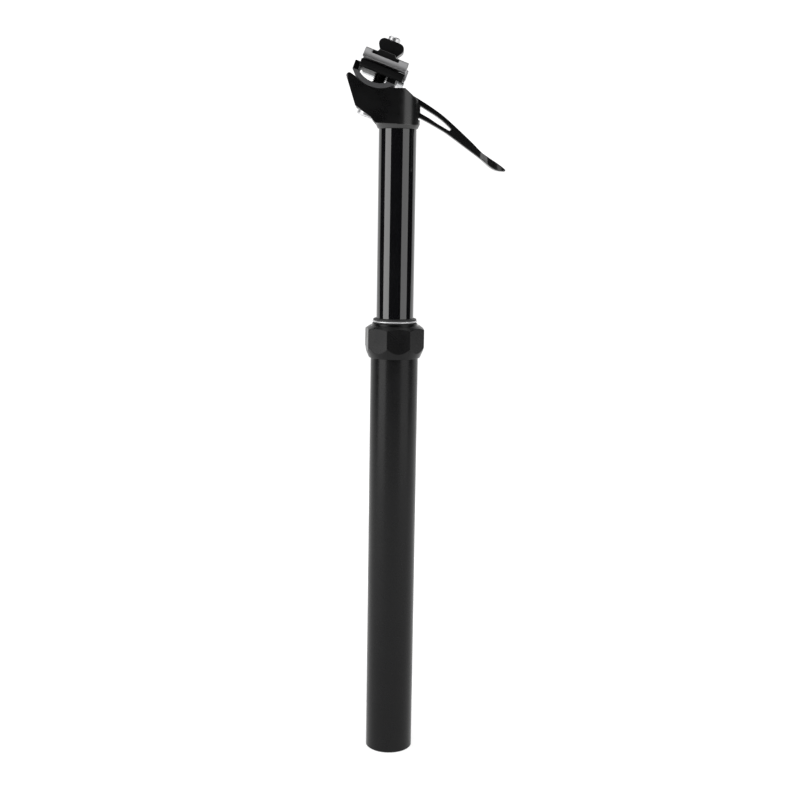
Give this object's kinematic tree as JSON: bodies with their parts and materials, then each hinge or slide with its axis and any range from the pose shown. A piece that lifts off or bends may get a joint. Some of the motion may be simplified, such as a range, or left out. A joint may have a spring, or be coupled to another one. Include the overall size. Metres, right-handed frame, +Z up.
{
  "type": "dropper seatpost",
  "caption": "Telescopic bicycle seatpost with a gas cartridge, a release lever under the saddle, an octagonal collar nut and a tilting clamp for the saddle rails.",
  "frame": {"origin": "centre of the lower tube's foot, where the post enters the bicycle's seat tube", "axes": "+Z up along the post, towards the saddle; +X forward, the way the lever points; the saddle rails run along X, tilted nose down, at equal distances on either side along Y"},
  "size_m": [0.0896, 0.0566, 0.414],
  "materials": {
    "satin_black_alloy": "satin black anodised aluminium tube",
    "nut_black_alloy": "satin black anodised, turned and milled aluminium",
    "gloss_black_alloy": "polished black hard anodised sliding tube",
    "head_black_alloy": "satin black forged aluminium",
    "lever_black_alloy": "satin black aluminium lever",
    "clamp_black_alloy": "dark anodised aluminium",
    "clamp_grey_alloy": "grey anodised aluminium with a soft sheen",
    "nut_black_steel": "black finished forged steel nut",
    "bright_steel": "bright zinc plated steel",
    "spring_steel": "oiled spring steel",
    "raw_alloy": "machined aluminium",
    "seal_rubber": "black nitrile rubber",
    "bushing_plastic": "acetal bearing plastic",
    "key_brass": "turned brass"
  },
  "bodies": {
    "mast": {"lower_tube": "satin_black_alloy", "collar_nut": "nut_black_alloy", "wiper_seal": "seal_rubber", "wiper_ring": "bright_steel", "upper_bushing": "bushing_plastic", "bottom_plug": "raw_alloy", "plug_circlip": "spring_steel", "foot_bolt": "bright_steel", "foot_washer": "bright_steel", "bottom_out_bumper": "seal_rubber", "piston_rod": "bright_steel", "main_piston": "raw_alloy", "piston_seal": "seal_rubber"},
    "post": {"stanchion": "gloss_black_alloy", "lower_bushing": "bushing_plastic", "guide_keys": "key_brass", "cartridge_tube": "raw_alloy", "cartridge_retainer": "raw_alloy", "rod_guide": "bushing_plastic", "rod_seal": "seal_rubber", "inner_tube": "raw_alloy", "valve_body": "raw_alloy", "valve_seal": "seal_rubber", "head": "head_black_alloy", "lever_pivot_pin": "bright_steel"},
    "gas_piston": {"floating_piston": "raw_alloy", "floating_piston_seals": "seal_rubber"},
    "valve": {"valve_pin": "bright_steel"},
    "release_lever": {"lever": "lever_black_alloy", "lever_bush": "key_brass"},
    "saddle_clamp": {"lower_clamp": "clamp_black_alloy", "bolt_washer": "bright_steel", "clamp_bolt": "bright_steel"},
    "clamp_jaw": {"upper_clamp": "clamp_grey_alloy", "clamp_nut": "nut_black_steel"}
  },
  "joints": [
    {"name": "post_slide", "type": "slide", "parent": "mast", "child": "post", "axis": [0, 0, 1], "range_m": [-0.1, 0], "stiffness_N_per_m": 400, "springref_m": 0.25},
    {"name": "gas_piston_slide", "type": "slide", "parent": "post", "child": "gas_piston", "axis": [0, 0, 1], "range_m": [-0.08, 0]},
    {"name": "lever_pivot", "type": "hinge", "parent": "post", "child": "release_lever", "pos_m": [0.0068, 0, 0.3748], "axis": [0, -1, 0], "range_deg": [0, 12], "stiffness_Nm_per_rad": 0.6, "springref_deg": -8.59},
    {"name": "valve_slide", "type": "slide", "parent": "post", "child": "valve", "axis": [0, 0, 1], "range_m": [-0.0016, 0]},
    {"name": "clamp_tilt", "type": "hinge", "parent": "post", "child": "saddle_clamp", "pos_m": [-0.0098, 0, 0.4009], "axis": [0, 1, 0], "range_deg": [-6, 6]},
    {"name": "jaw_lift", "type": "slide", "parent": "saddle_clamp", "child": "clamp_jaw", "axis": [0.3502, 0, 0.9367], "range_m": [0, 0.004]}
  ],
  "couplings": [
    {"joint": "gas_piston_slide", "follows": "post_slide", "ratio": 0.7188},
    {"joint": "valve_slide", "follows": "lever_pivot", "m_per_rad": -0.0068}
  ]
}
